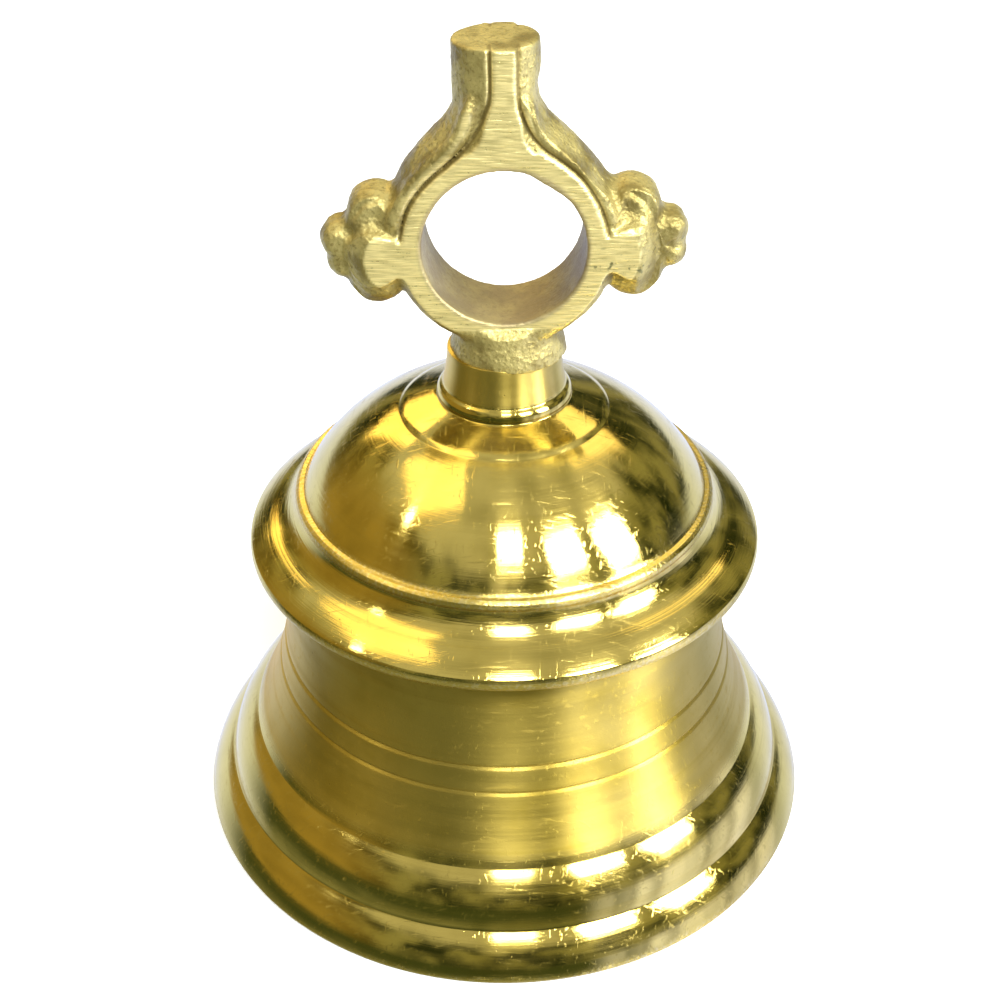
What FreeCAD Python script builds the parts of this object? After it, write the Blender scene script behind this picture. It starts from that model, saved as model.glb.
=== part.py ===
import FreeCAD, Part
import math
import os

import Sketcher

# A cast brass temple bell, standing on its mouth. +Z is up and is the bell's axis, the origin is the centre
# of the mouth's plane, and +Y runs along the hole of the hanging ring. Millimetres and degrees.

doc = FreeCAD.newDocument("temple_bell")

DRIVING_DIMENSIONS = [
    # Mouth and the two stepped mouldings above it.
    ("mouth_radius", 75.0),
    ("lip_round", 1.2),
    ("lip_flat_inner_radius", 70.2),
    ("skirt_round", 17.0),
    ("skirt_top_radius", 68.7),
    ("skirt_top_height", 10.4),
    ("moulding_round", 19.0),
    ("moulding_top_radius", 61.7),
    ("moulding_top_height", 22.6),
    # Flared waist with two turned grooves.
    ("waist_flare", 82.0),
    ("waist_top_radius", 51.8),
    ("waist_top_height", 71.2),
    ("groove_half_width", 0.45),
    ("groove_depth", 0.5),
    ("lower_groove_radius", 54.85),
    ("lower_groove_height", 38.9),
    ("upper_groove_radius", 53.25),
    ("upper_groove_height", 45.1),
    # Overhanging rim, cove and bead.
    ("rim_bottom_radius", 57.9),
    ("rim_bottom_height", 71.5),
    ("rim_radius", 59.2),
    ("rim_height", 73.6),
    ("rim_corner_radius", 58.9),
    ("rim_corner_height", 75.0),
    ("rim_top_radius", 53.7),
    ("rim_top_height", 78.3),
    ("rim_edge_round", 2.4),
    ("rim_roll_round", 22.0),
    ("cove_round", 9.0),
    ("bead_bottom_radius", 47.6),
    ("bead_bottom_height", 83.9),
    ("bead_round", 1.5),
    ("bead_top_radius", 46.0),
    ("bead_top_height", 86.4),
    # Dome, crown disc and neck.
    ("dome_round", 43.5),
    ("disc_radius", 23.5),
    ("disc_height", 105.6),
    ("disc_edge_radius", 22.3),
    ("disc_edge_height", 107.0),
    ("neck_step_radius", 15.0),
    ("neck_step_height", 109.3),
    ("neck_foot_radius", 13.7),
    ("neck_foot_height", 112.2),
    ("neck_step_round", 2.6),
    ("neck_sweep", 42.0),
    ("neck_top_radius", 12.5),
    ("neck_top_height", 121.0),
    # Inside of the shell.
    ("bolt_hole_radius", 4.5),
    ("crown_inner_height", 103.5),
    ("crown_flat_radius", 13.6),
    ("dome_inner_round", 39.0),
    ("dome_inner_radius", 44.2),
    ("dome_inner_height", 80.0),
    ("waist_inner_radius", 46.4),
    ("waist_inner_height", 71.0),
    ("bell_inner_flare", 105.0),
    # Hanging ring, in its own frame: foot at height 0, hole along Y.
    ("ring_lean", -1.8),
    ("ring_shift", 0.84),
    ("ring_centre", 26.8),
    ("hole_radius", 16.8),
    ("ring_flat_radius", 21.2),
    ("ring_outer_radius", 23.3),
    ("ring_depth", 19.0),
    ("ring_round_depth", 11.0),
    ("hole_overlap", 1.0),
    ("stub_radius", 9.0),
    ("stub_shift", -0.5),
    ("stub_bottom", 42.0),
    ("stub_top", 68.3),
    ("foot_radius", 12.0),
    ("foot_skirt", 1.0),
    ("foot_waist_radius", 11.4),
    ("foot_top", 8.0),
    ("tapped_hole_depth", 8.0),
    ("thread_clearance", 0.05),
    # Shoulders, filed web and side lobes of the hanging ring.
    ("shoulder_half_depth", 7.5),
    ("rib_root_reach", 4.0),
    ("rib_root_height", 61.0),
    ("rib_root_lean", 0.0),
    ("rib_root_half_width", 3.8),
    ("rib_neck_reach", 5.6),
    ("rib_neck_height", 54.5),
    ("rib_neck_lean", 20.0),
    ("rib_neck_half_width", 4.0),
    ("rib_bend_reach", 9.6),
    ("rib_bend_height", 48.0),
    ("rib_bend_lean", 45.0),
    ("rib_bend_half_width", 4.1),
    ("rib_slope_reach", 15.6),
    ("rib_slope_height", 41.8),
    ("rib_slope_lean", 42.0),
    ("rib_slope_half_width", 4.1),
    ("rib_turn_reach", 18.6),
    ("rib_turn_height", 36.5),
    ("rib_turn_lean", 20.0),
    ("rib_turn_half_width", 4.3),
    ("rib_end_reach", 19.8),
    ("rib_end_height", 30.0),
    ("rib_end_lean", 6.0),
    ("rib_end_half_width", 4.0),
    ("ring_edge_round", 4.6),
    ("web_depth", 18.2),
    ("web_shift", 1.0),
    ("web_top_reach", 2.85),
    ("web_top_height", 58.0),
    ("web_waist_reach", 5.2),
    ("web_waist_height", 49.2),
    ("web_foot_reach", 13.0),
    ("web_foot_height", 43.2),
    ("web_foot_sweep", 14.0),
    ("web_sweep", 16.0),
    ("foot_sweep", 30.0),
    ("boss_reach", 26.9),
    ("boss_height", 25.0),
    ("boss_radius", 6.0),
    ("upper_lobe_reach", 26.6),
    ("upper_lobe_height", 32.3),
    ("upper_lobe_radius", 6.0),
    ("upper_lobe_half_depth", 7.2),
    ("lower_lobe_reach", 26.9),
    ("lower_lobe_height", 18.9),
    ("lower_lobe_radius", 6.6),
    ("lower_lobe_half_depth", 7.6),
    ("upper_bead_reach", 35.0),
    ("upper_bead_height", 26.8),
    ("upper_bead_radius", 3.6),
    ("upper_bead_half_depth", 4.8),
    ("lower_bead_reach", 34.6),
    ("lower_bead_height", 22.0),
    ("lower_bead_radius", 3.2),
    ("lower_bead_half_depth", 4.4),
    # Bolt, washers and nut under the crown: M8.
    ("bolt_radius", 4.0),
    ("bolt_into_ring", 7.4),
    ("bolt_tip_chamfer", 0.8),
    ("washer_clearance", 0.3),
    ("washer_radius", 12.0),
    ("washer_thickness", 1.6),
    ("spring_washer_radius", 7.4),
    ("spring_washer_thickness", 2.0),
    ("spring_washer_clearance", 0.15),
    ("spring_washer_slit", 1.2),
    ("spring_washer_slit_tilt", 25.0),
    ("crown_nut_flats", 13.0),
    ("crown_nut_thickness", 5.0),
    ("nut_chamfer_angle", 30.0),
    ("nut_corner_margin", 0.1),
    ("eye_wire_radius", 2.0),
    ("eye_ring_radius", 6.0),
    ("eye_below_nut", 0.7),
    # Clapper: link, rod, ball and the M6 lock nut.
    ("hanging_gap", 0.2),
    ("link_wire_radius", 1.5),
    ("link_ring_radius", 6.0),
    ("rod_eye_wire_radius", 1.75),
    ("rod_eye_ring_radius", 5.25),
    ("rod_top_radius", 2.3),
    ("rod_radius", 3.0),
    ("ball_radius", 16.0),
    ("ball_bottom_height", 3.0),
    ("ball_seat_radius", 6.2),
    ("rod_into_ball", 15.0),
    ("rod_taper_start", 4.0),
    ("ball_drill_tip", 1.0),
    ("lock_nut_flats", 10.0),
    ("lock_nut_thickness", 4.0),
]


# --- spreadsheet -------------------------------------------------------------------------------------

sheet = doc.addObject("Spreadsheet::Sheet", "Sizes")
for row, (alias, value) in enumerate(DRIVING_DIMENSIONS, start=1):
    sheet.set(f"A{row}", alias)
    sheet.set(f"B{row}", str(value))
    sheet.setAlias(f"B{row}", alias)
doc.recompute()
ALIASES = sorted((alias for alias, _ in DRIVING_DIMENSIONS), key=len, reverse=True)


def bound(words):
    """The expression that an object of the document uses for a formula written in plain dimension names."""
    for number, alias in enumerate(ALIASES):
        words = replace_word(words, alias, f"<{number}>")
    for number, alias in enumerate(ALIASES):
        words = words.replace(f"<{number}>", f"Sizes.{alias}")
    return words


def replace_word(text, word, new):
    """The text with each whole occurrence of the word replaced; names inside longer names stay."""
    pieces = text.split(word)
    result = pieces[0]
    for piece in pieces[1:]:
        inside = (result and (result[-1].isalnum() or result[-1] == "_")) or (
            piece and (piece[0].isalnum() or piece[0] == "_")
        )
        result += (word if inside else new) + piece
    return result


def size(words):
    """The present value of a formula written in plain dimension names."""
    value = sheet.evalExpression(bound(words).replace("Sizes.", ""))
    return float(getattr(value, "Value", value))


def bind(thing, **formulas):
    """Binds properties to the spreadsheet; a double underscore in a keyword stands for the dot of a path."""
    for path, words in formulas.items():
        thing.setExpression(path.replace("__", "."), bound(str(words)))


# --- sketch and body helpers -------------------------------------------------------------------------

def new_body(label):
    body = doc.addObject("PartDesign::Body", label)
    body.Label = label
    return body


def new_sketch(body, name, plane):
    """A sketch on one of the body's own origin planes."""
    sketch = body.newObject("Sketcher::SketchObject", name)
    support = next(item for item in body.Origin.OriginFeatures if item.Role == plane)
    sketch.AttachmentSupport = (support, [""])
    sketch.MapMode = "FlatFace"
    return sketch


def arc_middle(start, end, radius):
    """The middle of the arc of that radius; a positive radius bulges to the right of the way along."""
    across = end - start
    half = across.Length / 2.0
    sagitta = abs(radius) - math.sqrt(radius * radius - half * half)
    right = FreeCAD.Vector(across.y, -across.x, 0).normalize()
    return (start + end) / 2.0 + right * math.copysign(sagitta, radius)


def draw_outline(sketch, corners):
    """Closes an outline through corners (across, up, arc); arc is a radius formula for the side that leaves
    the corner, positive where it bulges to the right, or None for a straight side."""
    points = [FreeCAD.Vector(size(across), size(up), 0) for across, up, _ in corners]
    first = sketch.GeometryCount
    count = len(corners)
    for index, (_, _, arc) in enumerate(corners):
        start = points[index]
        end = points[(index + 1) % count]
        if arc is None:
            sketch.addGeometry(Part.LineSegment(start, end), False)
        else:
            sketch.addGeometry(Part.Arc(start, arc_middle(start, end, size(arc)), end), False)
    for index, (across, up, arc) in enumerate(corners):
        edge = first + index
        start_vertex = start_of(sketch, edge, points[index])
        before = first + (index - 1) % count
        end_vertex = 3 - start_of(sketch, before, points[(index - 1) % count])
        sketch.addConstraint(Sketcher.Constraint("Coincident", before, end_vertex, edge, start_vertex))
        fix_vertex(sketch, edge, start_vertex, across, up)
        if arc is not None:
            radius = abs(size(arc))
            number = sketch.addConstraint(Sketcher.Constraint("Radius", edge, radius))
            sketch.setExpression(f"Constraints[{number}]", bound(f"abs({arc})"))


def start_of(sketch, edge, point):
    """1 or 2: which stored end of an edge lies at the point. An arc is stored turning to the left."""
    return min((1, 2), key=lambda vertex: sketch.getPoint(edge, vertex).distanceToPoint(point))


def fix_vertex(sketch, edge, vertex, across, up):
    """Ties a vertex to the sketch's origin by two distances bound to the spreadsheet."""
    for kind, words in (("DistanceX", across), ("DistanceY", up)):
        number = sketch.addConstraint(Sketcher.Constraint(kind, -1, 1, edge, vertex, size(words)))
        sketch.setExpression(f"Constraints[{number}]", bound(words))


def draw_circle(sketch, across, up, radius):
    """A circle held at its centre and radius by the spreadsheet."""
    centre = FreeCAD.Vector(size(across), size(up), 0)
    circle = sketch.addGeometry(Part.Circle(centre, FreeCAD.Vector(0, 0, 1), size(radius)), False)
    fix_vertex(sketch, circle, 3, across, up)
    number = sketch.addConstraint(Sketcher.Constraint("Radius", circle, size(radius)))
    sketch.setExpression(f"Constraints[{number}]", bound(radius))


def turn(body, kind, sketch, axis="V_Axis"):
    """A full-turn Revolution or Groove of a sketch about one of its axes."""
    feature = body.newObject(f"PartDesign::{kind}", f"{sketch.Name}_{kind.lower()}")
    feature.Profile = sketch
    feature.ReferenceAxis = (sketch, [axis])
    feature.Angle = 360
    return feature


def pad_both_ways(body, sketch, length):
    """A pad that grows equally to both sides of its sketch."""
    pad = body.newObject("PartDesign::Pad", f"{sketch.Name}_pad")
    pad.Profile = sketch
    pad.SideType = "Symmetric"
    bind(pad, Length=length)
    return pad


# --- bell_shell: one turned casting ------------------------------------------------------------------

def make_bell_shell():
    body = new_body("bell_shell")
    wall = new_sketch(body, "shell_wall", "XZ_Plane")
    draw_outline(wall, [
        ("lip_flat_inner_radius", "0", None),
        ("mouth_radius - lip_round", "0", "lip_round"),
        ("mouth_radius", "lip_round", "skirt_round"),
        ("skirt_top_radius", "skirt_top_height", "moulding_round"),
        ("moulding_top_radius", "moulding_top_height", "-waist_flare"),
        ("waist_top_radius", "waist_top_height", None),
        ("rim_bottom_radius", "rim_bottom_height", "rim_edge_round"),
        ("rim_radius", "rim_height", "rim_edge_round"),
        ("rim_corner_radius", "rim_corner_height", "rim_roll_round"),
        ("rim_top_radius", "rim_top_height", "-cove_round"),
        ("bead_bottom_radius", "bead_bottom_height", "bead_round"),
        ("bead_top_radius", "bead_top_height", "dome_round"),
        ("disc_radius", "disc_height", None),
        ("disc_edge_radius", "disc_edge_height", None),
        ("neck_step_radius", "neck_step_height", "neck_step_round"),
        ("neck_foot_radius", "neck_foot_height", "-neck_sweep"),
        ("neck_top_radius", "neck_top_height", None),
        ("bolt_hole_radius", "neck_top_height", None),
        ("bolt_hole_radius", "crown_inner_height", None),
        ("crown_flat_radius", "crown_inner_height", "-dome_inner_round"),
        ("dome_inner_radius", "dome_inner_height", None),
        ("waist_inner_radius", "waist_inner_height", "bell_inner_flare"),
    ])
    turn(body, "Revolution", wall)
    doc.recompute()

    uncut = body.Shape.Volume
    grooves = new_sketch(body, "waist_grooves", "XZ_Plane")
    for place in ("lower", "upper"):
        surface = f"{place}_groove_radius"
        height = f"{place}_groove_height"
        draw_outline(grooves, [
            (f"{surface} - groove_depth", height, None),
            (f"{surface} + groove_depth", f"{height} - 2 * groove_half_width", None),
            (f"{surface} + groove_depth", f"{height} + 2 * groove_half_width", None),
        ])
    turn(body, "Groove", grooves)
    doc.recompute()
    if body.Shape.Volume >= uncut:
        raise RuntimeError("the waist grooves cut nothing")
    return body


# --- hanging_ring: rough casting with filed faces ----------------------------------------------------

SHOULDER_STATIONS = ["rib_root", "rib_neck", "rib_bend", "rib_slope", "rib_turn", "rib_end"]


def make_hanging_ring():
    """The casting is drawn upright in a body, leant over on its foot, then seated and tapped square."""
    casting = new_body("ring_casting")
    add_ring(casting)
    add_filed_web(casting)
    add_stub_and_foot(casting)
    add_side_lobes(casting)
    blank = doc.addObject("Part::MultiFuse", "ring_blank")
    blank.Shapes = [casting, make_shoulder("right", ""), make_shoulder("left", "-")]
    hole = doc.addObject("Part::Cylinder", "hanging_hole")
    bind(hole, Radius="hole_radius", Height="ring_depth * 2", Placement__Base__y="ring_depth",
         Placement__Base__z="ring_centre")
    hole.Placement.Rotation = FreeCAD.Rotation(FreeCAD.Vector(1, 0, 0), 90)
    holed = doc.addObject("Part::Cut", "ring_with_hole")
    holed.Base = blank
    holed.Tool = hole

    holed.Placement.Rotation = FreeCAD.Rotation(FreeCAD.Vector(0, 1, 0), size("ring_lean"))
    bind(holed, Placement__Base__x="ring_shift", Placement__Base__z="neck_top_height")
    seat = doc.addObject("Part::Cylinder", "neck_seat")
    bind(seat, Radius="mouth_radius", Height="neck_top_height")
    drill = doc.addObject("Part::Cylinder", "foot_drill")
    bind(drill, Radius="bolt_radius + thread_clearance", Height="neck_top_height + tapped_hole_depth")
    machining = doc.addObject("Part::Fuse", "ring_machining")
    machining.Base = seat
    machining.Tool = drill
    ring = doc.addObject("Part::Cut", "hanging_ring")
    ring.Base = holed
    ring.Tool = machining
    return ring


def make_shoulder(side, sign):
    """A rounded rib that spreads from the stub down to the side lobes, lofted through oval sections."""
    sections = []
    for station in SHOULDER_STATIONS:
        oval = doc.addObject("Part::Ellipse", f"{side}_{station}_section")
        bind(
            oval,
            MajorRadius="shoulder_half_depth",
            MinorRadius=f"{station}_half_width",
            Placement__Base__x=f"{sign}{station}_reach",
            Placement__Base__z=f"{station}_height",
        )
        lean = size(f"{sign}{station}_lean")
        upright = FreeCAD.Rotation(FreeCAD.Vector(0, 0, 1), 90)
        oval.Placement.Rotation = FreeCAD.Rotation(FreeCAD.Vector(0, 1, 0), -lean) * upright
        sections.append(oval)
    shoulder = doc.addObject("Part::Loft", f"{side}_shoulder")
    shoulder.Sections = sections
    shoulder.Solid = True
    return shoulder


def add_ring(casting):
    """The ring itself: flat on its two faces, round on its outside, turned about the hole's axis. Its inside
    laps a little into the hole, which is cut last."""
    section = new_sketch(casting, "ring_section", "YZ_Plane")
    draw_outline(section, [
        ("-ring_depth / 2", "ring_centre + hole_radius - hole_overlap", None),
        ("ring_depth / 2", "ring_centre + hole_radius - hole_overlap", None),
        ("ring_depth / 2", "ring_centre + ring_flat_radius", "ring_edge_round"),
        ("ring_round_depth / 2", "ring_centre + ring_outer_radius", None),
        ("-ring_round_depth / 2", "ring_centre + ring_outer_radius", "ring_edge_round"),
        ("-ring_depth / 2", "ring_centre + ring_flat_radius", None),
    ])
    axis_ends = [FreeCAD.Vector(side * size("ring_depth"), size("ring_centre"), 0) for side in (-1, 1)]
    axis = sketch_axis(section, *axis_ends)
    fix_vertex(section, axis, 1, "-ring_depth", "ring_centre")
    fix_vertex(section, axis, 2, "ring_depth", "ring_centre")
    turn(casting, "Revolution", section, "Axis0")
    doc.recompute()


def sketch_axis(sketch, start, end):
    """A construction line that a turned feature can use as its axis."""
    return sketch.addGeometry(Part.LineSegment(start, end), True)


def add_filed_web(casting):
    """The flat filed web that joins the ring's faces to the front and back of the stub."""
    outline = new_sketch(casting, "filed_web", "XZ_Plane")
    draw_outline(outline, [
        ("web_foot_reach", "web_foot_height", "-web_foot_sweep"),
        ("web_waist_reach", "web_waist_height", "-web_sweep"),
        ("web_shift + web_top_reach", "web_top_height", None),
        ("web_shift + web_top_reach", "stub_top", None),
        ("web_shift - web_top_reach", "stub_top", None),
        ("web_shift - web_top_reach", "web_top_height", "-web_sweep"),
        ("-web_waist_reach", "web_waist_height", "-web_foot_sweep"),
        ("-web_foot_reach", "web_foot_height", None),
    ])
    pad_both_ways(casting, outline, "web_depth")
    doc.recompute()


def add_stub_and_foot(casting):
    """The round stub above the ring and the round foot that stands on the neck."""
    stub = casting.newObject("PartDesign::AdditiveCylinder", "stub")
    bind(
        stub,
        Radius="stub_radius",
        Height="stub_top - stub_bottom",
        Placement__Base__x="stub_shift",
        Placement__Base__z="stub_bottom",
    )
    foot = new_sketch(casting, "foot_section", "XZ_Plane")
    draw_outline(foot, [
        ("0", "-foot_skirt", None),
        ("foot_radius", "-foot_skirt", None),
        ("foot_radius", "0", "-foot_sweep"),
        ("foot_waist_radius", "foot_top", None),
        ("0", "foot_top", None),
    ])
    turn(casting, "Revolution", foot)
    doc.recompute()


def add_side_lobes(casting):
    """On each side a filed boss between an upper and a lower lobe, and two small beads at the tip."""
    bosses = new_sketch(casting, "bosses", "XZ_Plane")
    for sign in ("", "-"):
        draw_circle(bosses, f"{sign}boss_reach", "boss_height", "boss_radius")
    pad_both_ways(casting, bosses, "ring_depth")
    for side, sign in (("right", ""), ("left", "-")):
        for part in ("upper_lobe", "lower_lobe", "upper_bead", "lower_bead"):
            lobe = casting.newObject("PartDesign::AdditiveEllipsoid", f"{side}_{part}")
            bind(
                lobe,
                Radius1=f"{part}_radius",
                Radius2=f"{part}_radius",
                Radius3=f"{part}_half_depth",
                Placement__Base__x=f"{sign}{part}_reach",
                Placement__Base__z=f"{part}_height",
            )
    doc.recompute()


# --- fastenings under the crown ----------------------------------------------------------------------

def make_crown_washer():
    """Large flat washer against the inside of the crown."""
    bore = "bolt_radius + washer_clearance"
    return turned_ring("crown_washer", bore, "washer_radius", WASHER_BOTTOM, CROWN)


def make_spring_washer():
    """Split lock washer, drawn down flat, with its slit across one side."""
    bore = "bolt_radius + spring_washer_clearance"
    outer = "spring_washer_radius"
    blank = turned_ring("spring_washer_blank", bore, outer, SPRING_BOTTOM, WASHER_BOTTOM)
    # The slit's box is longer and taller than the washer, so that it cuts right through one side.
    slit = doc.addObject("Part::Box", "spring_washer_slit_tool")
    bind(
        slit,
        Length="spring_washer_radius * 2",
        Width="spring_washer_slit",
        Height="spring_washer_thickness * 3",
        Placement__Base__z=f"{SPRING_BOTTOM} - spring_washer_thickness",
    )
    slit.Placement.Rotation = FreeCAD.Rotation(FreeCAD.Vector(1, 0, 0), size("spring_washer_slit_tilt"))
    washer = doc.addObject("Part::Cut", "spring_washer")
    washer.Base = blank
    washer.Tool = slit
    return washer


def turned_ring(label, inner, outer, bottom, top):
    """A plain ring about the bell's axis, as a body with one turned section."""
    body = new_body(label)
    section = new_sketch(body, f"{label}_section", "XZ_Plane")
    draw_outline(section, [
        (inner, bottom, None),
        (outer, bottom, None),
        (outer, top, None),
        (inner, top, None),
    ])
    turn(body, "Revolution", section)
    return body


def hexagon_nut(label, flats, thickness, bore, bottom):
    """A hexagon nut with its corners turned off on both faces."""
    corner = f"({flats} / 2 / cos(30 deg))"
    blank = doc.addObject("Part::Prism", f"{label}_blank")
    bind(
        blank,
        Circumradius=corner,
        Height=thickness,
        Placement__Base__z=bottom,
    )
    envelope = new_body(f"{label}_envelope")
    section = new_sketch(envelope, f"{label}_section", "XZ_Plane")
    beyond = f"{corner} + nut_corner_margin"
    drop = f"({beyond} - {flats} / 2) * tan(nut_chamfer_angle * 1 deg)"
    draw_outline(section, [
        (bore, bottom, None),
        (f"{flats} / 2", bottom, None),
        (beyond, f"{bottom} + {drop}", None),
        (beyond, f"{bottom} + {thickness} - {drop}", None),
        (f"{flats} / 2", f"{bottom} + {thickness}", None),
        (bore, f"{bottom} + {thickness}", None),
    ])
    turn(envelope, "Revolution", section)
    nut = doc.addObject("Part::Common", label)
    nut.Base = blank
    nut.Tool = envelope
    return nut


def make_crown_nut():
    bore = "bolt_radius + thread_clearance"
    return hexagon_nut("crown_nut", "crown_nut_flats", "crown_nut_thickness", bore, NUT_BOTTOM)


def make_eye_bolt():
    """Shank up through the neck into the ring's foot, with a closed eye whose hole runs along Y."""
    body = new_body("eye_bolt")
    add_wire_ring(body, "eye", "eye_ring_radius", "eye_wire_radius", EYE_CENTRE, FreeCAD.Vector(1, 0, 0))
    eye_top = f"{EYE_CENTRE} + eye_ring_radius"
    tip = "neck_top_height + bolt_into_ring"
    section = new_sketch(body, "shank_section", "XZ_Plane")
    draw_outline(section, [
        ("0", eye_top, None),
        ("eye_wire_radius", eye_top, None),
        ("bolt_radius", f"{eye_top} + eye_wire_radius", None),
        ("bolt_radius", f"{tip} - bolt_tip_chamfer", None),
        ("bolt_radius - bolt_tip_chamfer", tip, None),
        ("0", tip, None),
    ])
    turn(body, "Revolution", section)
    return body


def add_wire_ring(body, name, ring_radius, wire_radius, height, tilt_axis):
    """A closed ring of round wire, centred on the bell's axis and turned on edge about tilt_axis."""
    ring = body.newObject("PartDesign::AdditiveTorus", name)
    bind(ring, Radius1=ring_radius, Radius2=wire_radius, Placement__Base__z=height)
    ring.Placement.Rotation = FreeCAD.Rotation(tilt_axis, 90)
    return ring


# --- clapper -----------------------------------------------------------------------------------------

def make_clapper_link():
    """Closed wire ring that hangs from the bottom of the eye; its own hole runs along X."""
    body = new_body("clapper_link")
    add_wire_ring(body, "link", "link_ring_radius", "link_wire_radius", LINK_CENTRE, FreeCAD.Vector(0, 1, 0))
    return body


def make_clapper_rod():
    """Rod with an eye that hangs from the bottom of the link, thickening towards the ball."""
    body = new_body("clapper_rod")
    add_wire_ring(body, "rod_eye", "rod_eye_ring_radius", "rod_eye_wire_radius", ROD_EYE_CENTRE,
                  FreeCAD.Vector(1, 0, 0))
    neck = f"{ROD_EYE_CENTRE} - rod_eye_ring_radius"
    section = new_sketch(body, "rod_section", "XZ_Plane")
    draw_outline(section, [
        ("0", f"{BALL_SEAT} - rod_into_ball", None),
        ("rod_radius", f"{BALL_SEAT} - rod_into_ball", None),
        ("rod_radius", f"{BALL_SEAT} + lock_nut_thickness + rod_taper_start", None),
        ("rod_top_radius", neck, None),
        ("0", neck, None),
    ])
    turn(body, "Revolution", section)
    return body


def make_clapper_ball():
    """Cast ball with a flat seat and a blind tapped hole on top."""
    body = new_body("clapper_ball")
    section = new_sketch(body, "ball_section", "XZ_Plane")
    bore = "rod_radius + thread_clearance"
    bore_bottom = f"{BALL_SEAT} - rod_into_ball - ball_drill_tip"
    draw_outline(section, [
        ("0", "ball_bottom_height", "ball_radius"),
        ("ball_radius", "ball_bottom_height + ball_radius", "ball_radius"),
        ("ball_seat_radius", BALL_SEAT, None),
        (bore, BALL_SEAT, None),
        (bore, bore_bottom, None),
        ("0", bore_bottom, None),
    ])
    turn(body, "Revolution", section)
    return body


def make_ball_lock_nut():
    bore = "rod_radius + thread_clearance"
    return hexagon_nut("ball_lock_nut", "lock_nut_flats", "lock_nut_thickness", bore, BALL_SEAT)


# --- heights that follow from the driving dimensions -------------------------------------------------

CROWN = "crown_inner_height"
WASHER_BOTTOM = f"({CROWN} - washer_thickness)"
SPRING_BOTTOM = f"({WASHER_BOTTOM} - spring_washer_thickness)"
NUT_BOTTOM = f"({SPRING_BOTTOM} - crown_nut_thickness)"
EYE_CENTRE = f"({NUT_BOTTOM} - eye_below_nut - eye_wire_radius - eye_ring_radius)"
LINK_PIVOT = f"({EYE_CENTRE} - eye_ring_radius)"
LINK_CENTRE = f"({LINK_PIVOT} + eye_wire_radius + hanging_gap + link_wire_radius - link_ring_radius)"
CLAPPER_PIVOT = f"({LINK_CENTRE} - link_ring_radius)"
ROD_EYE_CENTRE = (
    f"({CLAPPER_PIVOT} + link_wire_radius + hanging_gap + rod_eye_wire_radius - rod_eye_ring_radius)"
)
BALL_SEAT = "(ball_bottom_height + ball_radius + sqrt(ball_radius ^ 2 - ball_seat_radius ^ 2))"


# --- build, check and export -------------------------------------------------------------------------

PIECES = [
    make_bell_shell(),
    make_hanging_ring(),
    make_eye_bolt(),
    make_crown_washer(),
    make_spring_washer(),
    make_crown_nut(),
    make_clapper_link(),
    make_clapper_rod(),
    make_clapper_ball(),
    make_ball_lock_nut(),
]
doc.recompute()

for item in doc.Objects:
    if "Invalid" in item.State or "Error" in item.State:
        raise RuntimeError(f"{item.Label} did not build: {item.getStatusString()}")
os.makedirs("parts", exist_ok=True)
for piece in PIECES:
    shape = piece.Shape
    if shape.isNull() or not shape.isValid() or len(shape.Solids) != 1:
        raise RuntimeError(f"{piece.Label} is not one valid solid")
    shape.exportStep(f"parts/{piece.Label}.step")
    print(f"{piece.Label}: {shape.Volume / 1000.0:.2f} cm3")
print(f"link pivot {size(LINK_PIVOT):.3f}, clapper pivot {size(CLAPPER_PIVOT):.3f}")
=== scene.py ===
import math

import bmesh
import bpy
import numpy as np
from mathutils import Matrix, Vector, noise


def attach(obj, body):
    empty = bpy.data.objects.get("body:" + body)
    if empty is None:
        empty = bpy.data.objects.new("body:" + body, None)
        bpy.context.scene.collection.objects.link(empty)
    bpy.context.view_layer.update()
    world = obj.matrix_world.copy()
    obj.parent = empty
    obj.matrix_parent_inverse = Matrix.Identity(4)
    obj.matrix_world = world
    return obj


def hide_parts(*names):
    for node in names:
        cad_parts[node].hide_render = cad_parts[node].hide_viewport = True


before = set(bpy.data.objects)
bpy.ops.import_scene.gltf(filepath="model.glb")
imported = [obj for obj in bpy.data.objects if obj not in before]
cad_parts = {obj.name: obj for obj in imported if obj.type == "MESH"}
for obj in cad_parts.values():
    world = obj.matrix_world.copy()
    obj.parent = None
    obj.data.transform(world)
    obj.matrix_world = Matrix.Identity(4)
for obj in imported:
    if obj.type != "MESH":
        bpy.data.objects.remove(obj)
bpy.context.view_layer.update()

# --- Bell shell ---------------------------------------------------------------------------------------------
# The bell itself: one sand casting in yellow brass, turned all over on a lathe and buffed. Two stepped
# mouldings, a flared waist with two cut grooves, an overhanging rim, a cove and bead, and the dome.

MM = 0.001

# Outlines are in millimetres: radius, height and the radius of the sweep that leads there, 0 for straight.
SHELL_STEPS = 216
SHELL_SPACING = 0.95
SHELL_WAVER, SHELL_WAVER_SCALE, SHELL_SEED = 0.14, 34.0, 3.7
CORNER_WEAR = 0.16
SHARP_TURN = math.radians(14)
LIP_INSIDE = (70.2, 0.0)
OUTSIDE = [
    (73.8, 0.0, 0),
    (75.0, 1.2, 1.2),
    (68.7, 10.4, 17.0),
    (61.7, 22.6, 19.0),
    (55.08, 38.3, -82.0),
    (54.45, 38.9, 0),
    (54.7, 39.5, 0),
    (53.47, 44.5, -82.0),
    (52.8, 45.1, 0),
    (53.13, 45.7, 0),
    (51.8, 71.2, -82.0),
    (57.9, 71.5, 0),
    (59.2, 73.6, 2.4),
    (58.9, 75.0, 2.4),
    (53.7, 78.3, 22.0),
    (47.6, 83.9, -9.0),
    (46.0, 86.4, 1.5),
    (23.6, 105.6, 43.5),
    (22.3, 106.5, 3.4),
    (15.0, 109.3, 0),
    (13.7, 112.2, 2.6),
    (12.5, 121.0, -42.0),
]
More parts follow.
